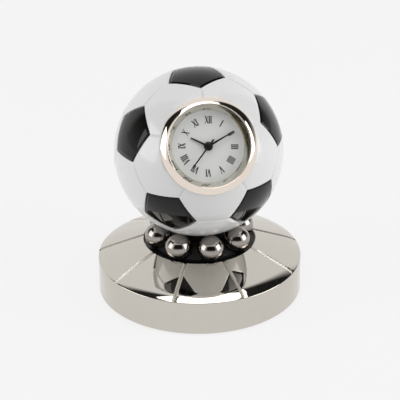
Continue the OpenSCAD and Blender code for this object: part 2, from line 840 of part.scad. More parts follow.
module setting_knob() {
    back = -case_depth - cap_t - seat_gap - knob_t;
    color(white) lift(0, setting_at) {
        translate([0, 0, back]) difference() {
            cylinder(r = knob_r, h = knob_t);
            for (k = [0 : knob_ribs - 1]) rotate([0, 0, 360 * k / knob_ribs])
                translate([knob_r, 0, -over]) cylinder(r = knob_rib_r, h = knob_t + 2 * over, $fn = 24);
        }
        translate([0, 0, back]) cylinder(r = knob_shaft_r, h = minute_wheel_z - back);
        translate([0, 0, minute_wheel_z - pinion_over]) rotate([0, 0, setting_turn])
            pinion(setting_teeth, motion_mod, wheel_t + 2 * pinion_over);
    }
}

module third_wheel() {
    top = centre_wheel_z + wheel_t;
    color(brass) lift(0, third_at) {
        rotate([0, 0, third_pinion_turn]) {
            translate([0, 0, third_wheel_z]) wheel(third_teeth, third_mod, wheel_t, 0);
            translate([0, 0, third_wheel_z - pinion_over / 2])
                pinion(pinion_teeth, going_mod, top + 1.5 * pinion_over - third_wheel_z);
        }
        arbor(bridge_z + seat_gap, plate_z + plate_t / 2);
    }
}

module fourth_wheel() {
    color(brass) lift(0) {
        rotate([0, 0, fourth_pinion_turn]) {
            translate([0, 0, fourth_wheel_z]) wheel(fourth_teeth, fast_mod, wheel_t, 0);
            translate([0, 0, fourth_wheel_z - pinion_over / 2])
                pinion(pinion_teeth, third_mod, third_wheel_z + wheel_t + pinion_over - fourth_wheel_z);
        }
        arbor(bridge_z + seat_gap, second_hand_z);
    }
}

module fifth_wheel() {
    color(brass) lift(0, fifth_at) {
        rotate([0, 0, fifth_pinion_turn]) {
            translate([0, 0, fifth_wheel_z]) wheel(fifth_teeth, fast_mod, wheel_t, 0, 0);
            translate([0, 0, fourth_wheel_z - pinion_over / 2])
                pinion(fifth_pinion_teeth, fast_mod, fifth_wheel_z - fourth_wheel_z + pinion_over);
        }
        arbor(bridge_z + seat_gap, plate_z + plate_t / 2);
    }
}

module rotor() {
    magnet_z = stator_z + stator_t / 2 - magnet_t / 2;
    color([0.3, 0.3, 0.32]) lift(0, rotor_at) {
        translate([0, 0, magnet_z]) cylinder(r = magnet_r, h = magnet_t);
        translate([0, 0, magnet_z]) rotate([0, 0, rotor_turn])
            pinion(rotor_teeth, fast_mod, fifth_wheel_z + wheel_t + pinion_over / 2 - magnet_z);
        arbor(bridge_z + seat_gap, plate_z + plate_t / 2);
    }
}

// A slightly tapered baton hand that points to a place on the dial, with its boss at the centre
module baton(place, length, w, boss, t) {
    tip = tip_share * w;
    linear_extrude(t) {
        rotate(twelve - place) polygon([[0, -w / 2], [length, -tip / 2], [length, tip / 2], [0, w / 2]]);
        circle(r = boss);
    }
}

module hour_hand() {
    color(black) lift(hour_hand_z) difference() {
        union() {
            baton(hour_at, hour_len, hour_hand_w, hub_r, hand_t);
            cylinder(r = hour_pipe_r, h = hand_t);
        }
        translate([0, 0, -over]) cylinder(r = hour_pipe_in, h = 2 * over);
    }
}

module minute_hand() {
    color(black) lift(minute_hand_z) difference() {
        baton(minute_at, minute_len, minute_hand_w, 0.9 * hub_r, hand_t);
        translate([0, 0, -over]) cylinder(r = cannon_in, h = 2 * over);
    }
}

module second_hand() {
    color(black) lift(second_hand_z) {
        baton(second_at, second_len, second_hand_w, 0.7 * hub_r, 0.7 * hand_t);
        baton(second_at + 180, second_tail, 2 * second_hand_w, 0.7 * hub_r, 0.7 * hand_t);
        cylinder(r = 0.5 * hub_r, h = 2 * hand_t);
    }
}

felt_pad();
base_casting();
ball_tray();
pivot_bush();
ball_cage();
bearing_balls();
football_front();
football_rear();
black_panels();
pivot_screw();
pivot_washer();
pivot_insert();
bezel();
lens();
lens_gasket();
reflector_ring();
dial();
insert_case();
grip_ring();
case_back();
movement_holder();
main_plate();
train_bridge();
bridge_screws();
circuit_board();
chip();
quartz_crystal();
coil_core();
coil_winding();
stator();
button_cell();
battery_clip();
centre_wheel();
cannon_pinion();
minute_hand();
hour_wheel();
hour_hand();
minute_wheel();
setting_knob();
third_wheel();
fourth_wheel();
second_hand();
fifth_wheel();
rotor();
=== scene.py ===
import math
import bpy
from mathutils import Matrix, Vector


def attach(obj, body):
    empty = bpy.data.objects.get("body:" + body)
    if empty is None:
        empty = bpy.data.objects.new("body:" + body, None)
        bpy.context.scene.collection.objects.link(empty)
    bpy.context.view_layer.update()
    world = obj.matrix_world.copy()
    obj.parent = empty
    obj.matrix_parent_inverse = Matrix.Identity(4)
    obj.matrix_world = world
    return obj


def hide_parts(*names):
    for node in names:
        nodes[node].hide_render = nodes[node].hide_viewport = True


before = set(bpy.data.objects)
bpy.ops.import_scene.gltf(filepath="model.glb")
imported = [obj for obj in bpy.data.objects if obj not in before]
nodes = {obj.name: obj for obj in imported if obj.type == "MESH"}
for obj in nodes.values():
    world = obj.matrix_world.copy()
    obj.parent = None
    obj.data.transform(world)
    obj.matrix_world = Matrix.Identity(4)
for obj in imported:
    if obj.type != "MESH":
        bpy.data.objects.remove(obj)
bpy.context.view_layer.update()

# Sizes are in millimetres and become metres where a piece is made. Turns are in degrees.
MM = 0.001

# Base and bearing balls
RIM_R, CONE_TOP, RECESS_R, TRAY_Z = 30.3, 16.4, 16.567, 12.8
GROOVES, GROOVE_TURN, GROOVE_W, GROOVE_DEEP = 9, 16.0, 1.0, 0.42
BALL_R, BALL_RING_R, BALL_Z, BALL_COUNT, BALL_TURN = 4.0, 12.65, 18.85, 8, 6.0

# Football, and the clock's seat measured from its centre
FOOTBALL_R, FOOTBALL_Z, PATTERN_TURN = 25.0, 45.0011, 1.5
SEAT, SOCKET_R, SOCKET_DEEP, BEZEL_R = 20.6785, 12.77, 13.5, 14.05

# Clock insert, its heights measured from the seat. The dial faces 30 degrees upwards.
DIAL_TILT, DIAL_TURN = 60, 5.4
GLASS_R, GLASS_LOW, GLASS_HIGH = 12.38, 0.92, 1.52
INK_Z, INK_T = -1.15, 0.03
NUMERAL_IN, NUMERAL_TALL = 6.6, 2.1
THICK, THIN, SERIF = 0.33, 0.18, 0.11
ROUND_SIDES = 240

# The football is made with the clock on top, and the insert with its seat at zero
TO_DIAL = Matrix.Translation((0, 0, FOOTBALL_Z * MM)) @ Matrix.Rotation(math.radians(DIAL_TILT), 4, "X")
TO_SEAT = TO_DIAL @ Matrix.Translation((0, 0, SEAT * MM))


# Modelling by hand
def let_go():
    bpy.ops.object.select_all(action="DESELECT")


def take(piece):
    """Leaves this piece alone selected and active."""
    let_go()
    piece.select_set(True)
    bpy.context.view_layer.objects.active = piece


def open_up(piece):
    take(piece)
    bpy.ops.object.mode_set(mode="EDIT")


def close_up():
    bpy.ops.object.mode_set(mode="OBJECT")
    return bpy.context.object


def pick_all():
    bpy.ops.mesh.select_all(action="SELECT")


def pick(piece, kind, test):
    """Selects the vertices, edges or faces that pass the test, in edit mode."""
    bpy.ops.mesh.select_mode(type=kind)
    bpy.ops.mesh.select_all(action="DESELECT")
    bpy.ops.object.mode_set(mode="OBJECT")
    mesh = piece.data
    if kind == "VERT":
        for v in mesh.vertices:
            v.select = bool(test(v.co))
    elif kind == "EDGE":
        for e in mesh.edges:
            a, b = (mesh.vertices[i].co for i in e.vertices)
            e.select = bool(test(a, b))
    else:
        for f in mesh.polygons:
            f.select = bool(test(f))
    bpy.ops.object.mode_set(mode="EDIT")


def pick_open():
    """Selects the open edges, in edit mode."""
    bpy.ops.mesh.select_mode(type="EDGE")
    bpy.ops.mesh.select_all(action="DESELECT")
    bpy.ops.mesh.select_non_manifold(extend=False, use_wire=False, use_boundary=True, use_multi_face=False,
                                     use_non_contiguous=False, use_verts=False)


def faced_outwards():
    """Turns every face outwards, in edit mode."""
    pick_all()
    bpy.ops.mesh.normals_make_consistent(inside=False)


def turned(name, outline, sides, turn=0.0):
    """A turned piece: a circle drawn out along its closed section, ring by ring.

    The outline holds (radius, height), and every radius is above zero."""
    let_go()
    r, z = outline[0]
    bpy.ops.mesh.primitive_circle_add(vertices=sides, radius=r * MM, location=(0, 0, z * MM), rotation=(0, 0, turn))
    piece = bpy.context.object
    piece.name = name
    bpy.ops.object.transform_apply()
    open_up(piece)
    pick_all()
    for next_r, next_z in outline[1:] + outline[:1]:
        bpy.ops.mesh.extrude_edges_move(TRANSFORM_OT_translate={"value": (0, 0, (next_z - z) * MM)})
        share = next_r / r
        bpy.ops.transform.resize(value=(share, share, 1), center_override=(0, 0, next_z * MM))
        r, z = next_r, next_z
    pick_all()
    bpy.ops.mesh.remove_doubles(threshold=2e-6)
    faced_outwards()
    return close_up()


def seated(piece, place):
    """Puts a piece that was made upright into its place and leaves its object at the origin."""
    take(piece)
    piece.matrix_world = place
    bpy.ops.object.transform_apply()


def smooth(piece, angle):
    take(piece)
    bpy.ops.object.shade_smooth_by_angle(angle=math.radians(angle))
    return piece


def softened(piece, width, segments):
    """Rounds the sharp edges and keeps the flats flat."""
    take(piece)
    edge = piece.modifiers.new("soft_edges", "BEVEL")
    edge.width, edge.segments = width * MM, segments
    edge.limit_method, edge.angle_limit = "ANGLE", math.radians(35)
    bpy.ops.object.modifier_apply(modifier=edge.name)


def rounded_to(piece, radius):
    """Casts the whole mesh onto a sphere round the origin."""
    take(piece)
    cast = piece.modifiers.new("round", "CAST")
    cast.cast_type, cast.factor = "SPHERE", 1.0
    cast.use_radius_as_size, cast.radius = True, radius * MM
    bpy.ops.object.modifier_apply(modifier=cast.name)


def joined(name, pieces):
    let_go()
    for p in pieces:
        p.select_set(True)
    bpy.context.view_layer.objects.active = pieces[0]
    bpy.ops.object.join()
    piece = bpy.context.object
    piece.name = name
    bpy.ops.object.transform_apply()
    return piece


def copied(piece, place):
    """A copy with its own mesh, moved by a matrix."""
    twin = piece.copy()
    twin.data = piece.data.copy()
    bpy.context.scene.collection.objects.link(twin)
    twin.data.transform(place)
    return twin


# Finishes
def fixed(node, **values):
    """Sets constants on a node's own inputs. An underscore stands for the space in an input's name."""
    for label, value in values.items():
        node.inputs[label.replace("_", " ")].default_value = value


def maths(tree, operation, *values, clamp=False):
    """One step of arithmetic on numbers or on the outputs of other nodes."""
    step = tree.nodes.new("ShaderNodeMath")
    step.operation, step.use_clamp = operation, clamp
    for socket, value in zip(step.inputs, values):
        if isinstance(value, (int, float)):
            socket.default_value = value
        else:
            tree.links.new(value, socket)
    return step.outputs[0]


def blended(tree, share, first, second, out):
    """Shows the second shader in the given share and the first one in the rest."""
    mix = tree.nodes.new("ShaderNodeMixShader")
    for source, socket in zip((share, first.outputs[0], second.outputs[0]), mix.inputs):
        tree.links.new(source, socket)
    tree.links.new(mix.outputs[0], out.inputs["Surface"])


def blank(name):
    """A new material, its node tree and its Principled shader."""
    m = bpy.data.materials.new(name)
    m.use_nodes = True
    return m, m.node_tree, m.node_tree.nodes["Principled BSDF"]


def surface_marks():
    """Fine unevenness of a handled surface: a slow and a fine change of roughness, and a slight ripple."""
    tree = bpy.data.node_groups.new("surface_marks", "ShaderNodeTree")
    for way, kind, labels in (("INPUT", "NodeSocketVector", ["Place"]),
                              ("INPUT", "NodeSocketFloat", ["Scale", "Roughness", "Change", "Ripple"]),
                              ("OUTPUT", "NodeSocketFloat", ["Roughness", "Mask"]),
                              ("OUTPUT", "NodeSocketVector", ["Normal"])):
        for label in labels:
            tree.interface.new_socket(name=label, in_out=way, socket_type=kind)
    link, new = tree.links.new, tree.nodes.new
    given, made = new("NodeGroupInput").outputs, new("NodeGroupOutput").inputs

    def noise(scale, detail):
        cloud = new("ShaderNodeTexNoise")
        fixed(cloud, Detail=detail)
        link(given["Place"], cloud.inputs["Vector"])
        link(scale, cloud.inputs["Scale"])
        return cloud.outputs["Fac"]

    finer, fine_share, mean = 9, 0.4, 0.7
    slow = noise(given["Scale"], 4)
    fine = noise(maths(tree, "MULTIPLY", given["Scale"], finer), 3)
    height = maths(tree, "MULTIPLY_ADD", fine, fine_share, slow)
    mask = maths(tree, "SUBTRACT", height, mean)
    rough = maths(tree, "MULTIPLY_ADD", mask, given["Change"], given["Roughness"], clamp=True)
    bump = new("ShaderNodeBump")
    fixed(bump, Distance=0.0001)
    link(given["Ripple"], bump.inputs["Strength"])
    link(height, bump.inputs["Height"])
    link(rough, made["Roughness"])
    link(mask, made["Mask"])
    link(bump.outputs["Normal"], made["Normal"])
    return tree


MARKS = surface_marks()


def finish(name, colour, rough, change, ripple, scale, tint, metallic=0.0, **plain):
    """A Principled material whose colour, roughness and normal vary slightly over the surface.

    Change is the swing of the roughness, ripple the strength of the bumps, scale the marks to the metre
    and tint how far the colour darkens with the marks."""
    m, tree, shader = blank(name)
    link, new = tree.links.new, tree.nodes.new
    place = new("ShaderNodeTexCoord")
    marks = new("ShaderNodeGroup")
    marks.node_tree = MARKS
    fixed(marks, Scale=scale, Roughness=rough, Change=change, Ripple=ripple)
    link(place.outputs["Object"], marks.inputs["Place"])
    # The mask swings by about a quarter, so its dark end lies four times as far off
    dark = 1 - tint * 4
    shade = new("ShaderNodeMix")
    shade.data_type = "RGBA"
    fixed(shade, A=(*colour, 1), B=(*[c * dark for c in colour], 1))
    link(marks.outputs["Mask"], shade.inputs["Factor"])
    link(shade.outputs["Result"], shader.inputs["Base Color"])
    link(marks.outputs["Roughness"], shader.inputs["Roughness"])
    if ripple:
        link(marks.outputs["Normal"], shader.inputs["Normal"])
    fixed(shader, Metallic=metallic, **plain)
    return m


chrome_plate = finish("chrome_plate", (0.60, 0.565, 0.51), rough=0.035, change=0.02, ripple=0.006, scale=260,
                      tint=0.02, metallic=1.0)
groove_plate = finish("groove_plate", (0.60, 0.56, 0.50), rough=0.42, change=0.1, ripple=0.3, scale=1400,
                      tint=0.05, metallic=1.0)
ball_steel = finish("ball_steel", (0.36, 0.33, 0.308), rough=0.12, change=0.03, ripple=0.004, scale=300,
                    tint=0.03, metallic=1.0)
champagne = finish("champagne_plate", (0.83, 0.735, 0.65), rough=0.05, change=0.03, ripple=0.006, scale=300,
                   tint=0.02, metallic=1.0)
white_enamel = finish("white_enamel", (0.74, 0.745, 0.74), rough=0.16, change=0.05, ripple=0.006, scale=180,
                      tint=0.015, Specular_IOR_Level=0.35, Coat_Weight=0.35, Coat_Roughness=0.05)
black_enamel = finish("black_enamel", (0.006, 0.006, 0.0055), rough=0.06, change=0.03, ripple=0.008, scale=180,
                      tint=0.05, Specular_IOR_Level=0.24)
felt = finish("black_felt", (0.02, 0.02, 0.022), rough=0.95, change=0.1, ripple=0.6, scale=2500, tint=0.1,
              Sheen_Weight=0.3)
black_plastic = finish("black_plastic", (0.012, 0.012, 0.012), rough=0.4, change=0.1, ripple=0.05, scale=500,
                       tint=0.05)
dial_paint = finish("dial_paint", (0.80, 0.80, 0.78), rough=0.45, change=0.08, ripple=0.03, scale=2500, tint=0.02)
numeral_ink = finish("numeral_ink", (0.012, 0.012, 0.012), rough=0.5, change=0.1, ripple=0.02, scale=2500, tint=0.05)
hand_enamel = finish("hand_enamel", (0.008, 0.008, 0.008), rough=0.3, change=0.1, ripple=0.01, scale=1500, tint=0.05)
mirror_plate = finish("mirror_plate", (0.66, 0.64, 0.57), rough=0.05, change=0.03, ripple=0.0, scale=500,
                      tint=0.02, metallic=1.0)
brass = finish("movement_brass", (0.70, 0.50, 0.22), rough=0.3, change=0.1, ripple=0.03, scale=900, tint=0.04,
               metallic=1.0)
steel = finish("zinc_steel", (0.5, 0.5, 0.5), rough=0.3, change=0.12, ripple=0.03, scale=600, tint=0.05,
               metallic=1.0)
nylon = finish("white_nylon", (0.72, 0.72, 0.68), rough=0.45, change=0.08, ripple=0.03, scale=700, tint=0.03)
rubber = finish("grip_rubber", (0.5, 0.5, 0.47), rough=0.7, change=0.08, ripple=0.1, scale=900, tint=0.04)
board_green = finish("board_green", (0.02, 0.12, 0.05), rough=0.25, change=0.08, ripple=0.05, scale=1200, tint=0.08)
epoxy = finish("chip_epoxy", (0.01, 0.01, 0.01), rough=0.6, change=0.1, ripple=0.08, scale=1500, tint=0.05)
copper = finish("copper_wire", (0.55, 0.22, 0.09), rough=0.35, change=0.1, ripple=0.15, scale=2500, tint=0.06,
                metallic=1.0)
magnet = finish("sintered_magnet", (0.16, 0.16, 0.17), rough=0.45, change=0.1, ripple=0.05, scale=1500, tint=0.06,
                metallic=0.7)


def clear_glass():
    """Mineral glass that lets light through to the dial."""
    m, tree, shader = blank("mineral_glass")
    fixed(shader, Base_Color=(0.97, 0.98, 0.98, 1), Roughness=0.0, IOR=1.45, Transmission_Weight=1.0)
    open_way = tree.nodes.new("ShaderNodeBsdfTransparent")
    rays = tree.nodes.new("ShaderNodeLightPath").outputs
    let_through = maths(tree, "MAXIMUM", rays["Is Shadow Ray"], rays["Is Diffuse Ray"])
    blended(tree, let_through, shader, open_way, tree.nodes["Material Output"])
    return m


glass = clear_glass()


def dress(piece, material):
    piece.data.materials.clear()
    piece.data.materials.append(material)
    return piece


def dress_node(material, *names):
    """Gives a material to pieces that show as they came from the CAD."""
    for name in names:
        node = nodes[name]
        if not node.material_slots:
            node.data.materials.append(material)
        for s in node.material_slots:
            s.material = material


# Base
def base_body():
    """The plated base: upright rim, rolled-over edge, cone with nine grooves, recess for the balls."""
    start = math.radians(GROOVE_TURN - 90)
    step = 2 * math.pi / GROOVES
    # The cone falls by lean for each millimetre outwards, and beyond bend_r it steepens to bent
    lean, bent, bend_r, edge_r, bends = 0.395, 0.64, 26.8, RIM_R - 0.1, 12
    r, z = RECESS_R + 0.25, CONE_TOP - 0.03
    cone = [(RECESS_R + 0.06, CONE_TOP - 0.1), (r, z), (bend_r, z - lean * (bend_r - r))]
    for k in range(1, bends + 1):
        r0, z0 = cone[-1]
        r = bend_r + (edge_r - bend_r) * k / bends
        cone.append((r, z0 - (r - r0) * (lean + (bent - lean) * (k - 0.5) / bends)))
    edge_z = cone[-1][1]
    corner = [(RIM_R - 0.04, edge_z - 0.06), (RIM_R - 0.01, edge_z - 0.12), (RIM_R, edge_z - 0.2)]
    felt_r, under_z, foot_z, foot_ease, waist_z, bore_r = 28.85, 1.25, 0.4, 0.2, 5.0, 3.25
    foot = [(felt_r, under_z), (felt_r, foot_z), (RIM_R - foot_ease, foot_z), (RIM_R, foot_z + foot_ease)]
    recess = [(RECESS_R, CONE_TOP - 0.2), (RECESS_R, TRAY_Z), (bore_r, TRAY_Z), (bore_r, under_z)]
    outline = foot + [(RIM_R, waist_z)] + corner[::-1] + cone[::-1] + recess
    base = turned("base_body", outline, 24 * GROOVES, start)

    def on_cone(p):
        return p.z > (edge_z - 0.15) * MM and (RECESS_R - 0.05) * MM < p.xy.length < (RIM_R - 0.005) * MM

    def beside(p, a):
        """Millimetres to the side of a groove's middle line, or a large number beyond the axis."""
        return (p.y * math.cos(a) - p.x * math.sin(a)) / MM if p.x * math.cos(a) + p.y * math.sin(a) > 0 else 99

    def to_groove(p):
        return min(abs(beside(p, start + step * k)) for k in range(GROOVES))

    # The cone is cut along each groove's sides and shoulders, and the points in between are then sunk
    half = GROOVE_W / 2
    shoulder, cut_reach, side_sink, near = half + 0.1, 1.1, 0.07, 0.02

    def meets_cut(f, a, off):
        aside = beside(f.center, a)
        return on_cone(f.center) and off * aside > 0 and abs(aside) < cut_reach

    open_up(base)
    for k in range(GROOVES):
        a = start + step * k
        side = Vector((-math.sin(a), math.cos(a), 0))
        for off in (-shoulder, -half, half, shoulder):
            pick(base, "FACE", lambda f: meets_cut(f, a, off))
            bpy.ops.mesh.bisect(plane_co=side * (off * MM), plane_no=side)
    pick(base, "VERT", lambda p: on_cone(p) and abs(to_groove(p) - half) < near)
    bpy.ops.transform.translate(value=(0, 0, -side_sink * MM))
    pick(base, "VERT", lambda p: on_cone(p) and to_groove(p) < near)
    bpy.ops.transform.translate(value=(0, 0, -GROOVE_DEEP * MM))
    base.data.materials.append(chrome_plate)
    base.data.materials.append(groove_plate)
    pick(base, "FACE", lambda f: on_cone(f.center) and to_groove(f.center) < half)
    base.active_material_index = 1
    bpy.ops.object.material_slot_assign()
    close_up()
    smooth(base, 30)
    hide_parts("base_casting")
    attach(base, "base")


base_body()


# Bearing balls
def bearing():
    """Eight steel balls in a ring, each rolled another way, so that no two show the same poles."""
    roll_x, roll_y = 1.1, 0.7
    let_go()
    bpy.ops.mesh.primitive_uv_sphere_add(segments=64, ring_count=40, radius=BALL_R * MM)
    first = bpy.context.object
    bpy.ops.object.transform_apply()
    balls = []
    for k in range(BALL_COUNT):
        a = math.radians(BALL_TURN - 90 + 360 * k / BALL_COUNT)
        turn = Matrix.Rotation(roll_x * k, 4, "X") @ Matrix.Rotation(roll_y * k, 4, "Y")
        place = Matrix.Translation((BALL_RING_R * MM * math.cos(a), BALL_RING_R * MM * math.sin(a), BALL_Z * MM))
        balls.append(copied(first, place @ turn))
    bpy.data.objects.remove(first)
    ring = dress(smooth(joined("steel_balls", balls), 60), ball_steel)
    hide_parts("bearing_balls")
    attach(ring, "ball_ring")


bearing()


# Football
def panels_net():
    """The football's net: an icosahedron whose cut corners make 12 pentagons and leave 20 hexagons."""
    corner_cut = 34.5  # per cent of an edge
    let_go()
    bpy.ops.mesh.primitive_ico_sphere_add(subdivisions=1, radius=FOOTBALL_R * MM,
                                          rotation=(0, 0, math.radians(18 + PATTERN_TURN)))
    net = bpy.context.object
    bpy.ops.object.transform_apply()
    open_up(net)
    pick_all()
    bpy.ops.mesh.bevel(offset_type="PERCENT", offset_pct=corner_cut, affect="VERTICES")
    pick_all()
    bpy.ops.mesh.remove_doubles(threshold=1e-6)
    return close_up()


def is_pentagon(f):
    return len(f.vertices) == 5


def at_clock(way):
    """True for the direction of the one pentagon whose place the clock takes."""
    return way.z > 0.9


def inlay_middles(net):
    """The directions of the eleven pentagons that hold a black panel."""
    ways = [f.center.normalized() for f in net.data.polygons if is_pentagon(f)]
    return [way for way in ways if not at_clock(way)]


def drawn_to(old, new):
    """Moves what is selected along the football's radii."""
    share = new / old
    bpy.ops.transform.resize(value=(share, share, share), center_override=(0, 0, 0))


def walled(piece, middles, outer, inner):
    """Draws the open edges inwards to a smaller radius and closes each of the pentagons there."""
    pick_open()
    bpy.ops.mesh.extrude_edges_move()
    drawn_to(outer, inner)

    def round_middle(p, middle):
        return abs(p.length - inner * MM) < 0.03 * MM and p.normalized().dot(middle) > 0.9

    for m in middles:
        pick(piece, "EDGE", lambda a, b: round_middle(a, m) and round_middle(b, m))
        bpy.ops.mesh.edge_face_add()
    faced_outwards()


def white_skin():
    """Twenty white panels with engraved seams, pockets for the black ones and a flat seat for the clock."""
    seam_half, seam_deep, lip_drop, pocket_deep, cuts = 0.28, 0.22, 0.08, 1.1, 13
    skin = panels_net()
    skin.name = "white_shell"
    middles = inlay_middles(skin)
    open_up(skin)
    pick(skin, "FACE", is_pentagon)
    bpy.ops.mesh.delete(type="FACE")
    close_up()
    corners = [v.co.copy() for v in skin.data.vertices]
    panels_at = {}
    for f in skin.data.polygons:
        for key in f.edge_keys:
            panels_at[key] = panels_at.get(key, 0) + 1
    pocket_sides, seam_sides = [], []
    for (a, b), count in panels_at.items():
        (seam_sides if count == 2 else pocket_sides).append((corners[a], corners[b]))

    def on_side(p, sides):
        """True for a point of the ball that lies on one of the great circle arcs."""
        way = p.normalized()
        return any(abs(way.dot(a.cross(b).normalized())) < 2e-4 and way.dot((a + b).normalized()) > 0.97
                   for a, b in sides)

    open_up(skin)
    bpy.ops.mesh.select_mode(type="FACE")
    pick_all()
    bpy.ops.mesh.inset(thickness=seam_half * MM, use_individual=True)
    pick(skin, "FACE", lambda f: len(f.vertices) == 6)
    bpy.ops.mesh.poke()
    # All but the short edges across a seam are divided
    pick(skin, "EDGE", lambda a, b: (a - b).length > 1.0 * MM)
    bpy.ops.mesh.subdivide(number_cuts=cuts)
    close_up()
    rounded_to(skin, FOOTBALL_R)
    open_up(skin)
    pick(skin, "VERT", lambda p: on_side(p, seam_sides) and not on_side(p, pocket_sides))
    drawn_to(FOOTBALL_R, FOOTBALL_R - seam_deep)
    # The edge of each pocket is slightly rounded over
    pick_open()
    drawn_to(FOOTBALL_R, FOOTBALL_R - lip_drop)
    # The clock's seat is cut flat, with a blind bore behind it
    bpy.ops.mesh.select_mode(type="VERT")
    pick_all()
    bpy.ops.mesh.bisect(plane_co=(0, 0, SEAT * MM), plane_no=(0, 0, 1), clear_outer=True)
    bpy.ops.mesh.select_mode(type="EDGE")
    bpy.ops.mesh.extrude_edges_move()
    share = SOCKET_R / BEZEL_R
    bpy.ops.transform.resize(value=(share, share, 1), center_override=(0, 0, SEAT * MM))
    bpy.ops.mesh.extrude_edges_move(TRANSFORM_OT_translate={"value": (0, 0, -SOCKET_DEEP * MM)})
    bpy.ops.mesh.edge_face_add()
    walled(skin, middles, FOOTBALL_R - lip_drop, FOOTBALL_R - pocket_deep)
    close_up()
    return skin


def black_inlays():
    """Eleven black pentagons that follow the ball, each with a bevel along its five edges."""
    face_r, gap, bevel, drop, thick, cuts = FOOTBALL_R - 0.1, 0.06, 0.9, 0.35, 0.95, 11
    flat = 0.855  # a length on the flat pentagon for each millimetre on the ball
    inlays = panels_net()
    inlays.name = "black_inlays"
    middles = inlay_middles(inlays)
    open_up(inlays)
    pick(inlays, "FACE", lambda f: not is_pentagon(f) or at_clock(f.center.normalized()))
    bpy.ops.mesh.delete(type="FACE")
    pick_all()
    bpy.ops.mesh.inset(thickness=gap * flat * MM, use_individual=True)
    pick(inlays, "FACE", lambda f: not is_pentagon(f))
    bpy.ops.mesh.delete(type="FACE")
    pick_all()
    bpy.ops.mesh.inset(thickness=bevel * flat * MM, use_individual=True)
    pick(inlays, "FACE", is_pentagon)
    bpy.ops.mesh.poke()
    # All but the short edges across the bevel are divided
    pick(inlays, "EDGE", lambda a, b: (a - b).length > 2.0 * MM)
    bpy.ops.mesh.subdivide(number_cuts=cuts)
    close_up()
    rounded_to(inlays, face_r)
    open_up(inlays)
    pick_open()
    drawn_to(face_r, face_r - drop)
    walled(inlays, middles, face_r - drop, face_r - thick)
    close_up()
    return inlays


football = white_skin()
seated(football, TO_DIAL)
dress(smooth(football, 40), white_enamel)
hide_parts("football_front", "football_rear")
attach(football, "football")

inlays = black_inlays()
seated(inlays, TO_DIAL)
dress(smooth(inlays, 12), black_enamel)
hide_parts("black_panels")
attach(inlays, "football")


# Clock insert
def sloped_bezel():
    """The bezel: a ring that is highest at the glass and falls away outwards in a shallow curve."""
    inner, top, low_tilt, high_tilt, curve, steps = 12.1, 2.3, 26.0, 56.0, 4.87, 20
    case_r, seat_r, lip_r = 13.3, 12.63, 11.86
    foot_z, foot_ease, step_z, lip_z, lip_top = 0.02, 0.05, 0.5, 1.55, 1.62

    def section(tilt):
        """The point of the curved face where it leans by this angle."""
        t, t0 = math.radians(tilt), math.radians(low_tilt)
        return (inner + 0.05 + curve * (math.sin(t) - math.sin(t0)), top - curve * (math.cos(t0) - math.cos(t)))

    face = [section(high_tilt + (low_tilt - high_tilt) * k / steps) for k in range(steps + 1)]
    face = [p for p in face if p[0] < BEZEL_R - 0.03]
    foot = [(case_r, foot_z), (BEZEL_R - foot_ease, foot_z), (BEZEL_R, foot_z + foot_ease),
            (BEZEL_R, face[0][1] - 0.1)]
    lip = [(inner, top - 0.03), (inner - 0.03, top - 0.1), (lip_r, lip_top), (lip_r, lip_z)]
    back = [(seat_r, lip_z), (seat_r, step_z), (case_r, step_z)]
    bezel = turned("bezel_ring", foot + face + lip + back, ROUND_SIDES)
    seated(bezel, TO_SEAT)
    dress(smooth(bezel, 30), champagne)
    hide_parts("bezel")
    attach(bezel, "insert")


sloped_bezel()


def bright_ring():
    """The bright ring that slopes down from the glass to the dial and mirrors the numerals."""
    dial_r, wall_r, slope_r = 10.45, 11.95, 12.05
    low, step_z, high = -1.1, 0.45, 0.87
    outline = [(dial_r, low), (wall_r, low), (wall_r, step_z), (GLASS_R, step_z), (GLASS_R, high), (slope_r, high)]
    ring = turned("bright_ring", outline, ROUND_SIDES)
    seated(ring, TO_SEAT)
    dress(smooth(ring, 30), mirror_plate)
    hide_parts("reflector_ring")
    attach(ring, "insert")


bright_ring()


def watch_glass():
    """The flat glass over the dial, its rim slightly eased."""
    let_go()
    bpy.ops.mesh.primitive_cylinder_add(vertices=ROUND_SIDES, radius=GLASS_R * MM,
                                        depth=(GLASS_HIGH - GLASS_LOW) * MM,
                                        location=(0, 0, (GLASS_LOW + GLASS_HIGH) / 2 * MM))
    pane = bpy.context.object
    pane.name = "watch_glass"
    bpy.ops.object.transform_apply()
    softened(pane, 0.04, 1)
    seated(pane, TO_SEAT)
    dress(smooth(pane, 30), glass)
    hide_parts("lens")
    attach(pane, "insert")


watch_glass()


def stroke(x0, y0, x1, y1, width):
    """One straight stroke of a letter."""
    let_go()
    bpy.ops.mesh.primitive_cube_add(size=1)
    bar = bpy.context.object
    run = Vector((x1 - x0, y1 - y0))
    bar.matrix_world = (Matrix.Translation(((x0 + x1) / 2 * MM, (y0 + y1) / 2 * MM, INK_Z * MM))
                        @ Matrix.Rotation(math.atan2(run.y, run.x), 4, "Z")
                        @ Matrix.Diagonal((run.length * MM, width * MM, INK_T * MM, 1)))
    bpy.ops.object.transform_apply()
    return bar


def letter(kind):
    """A serifed capital, its foot on the line y = 0."""
    top, side, tip = NUMERAL_TALL, 0.42, 0.03
    ends = {"I": [(0, 0), (0, top)],
            "V": [(-side, top), (side, top)],
            "X": [(-side, 0), (side, 0), (-side, top), (side, top)]}[kind]
    lines = {"I": [(0, 0, 0, top, THICK)],
             "V": [(-side, top, tip, 0, THICK), (side, top, tip, 0, THIN)],
             "X": [(-side, top, side, 0, THICK), (side, top, -side, 0, THIN)]}[kind]
    bars = [stroke(*line) for line in lines]
    serif_half = 0.23 if kind == "I" else 0.2
    for x, y in ends:
        y += SERIF / 2 if y == 0 else -SERIF / 2
        bars.append(stroke(x - serif_half, y, x + serif_half, y, SERIF))
    return joined("letter_" + kind, bars)


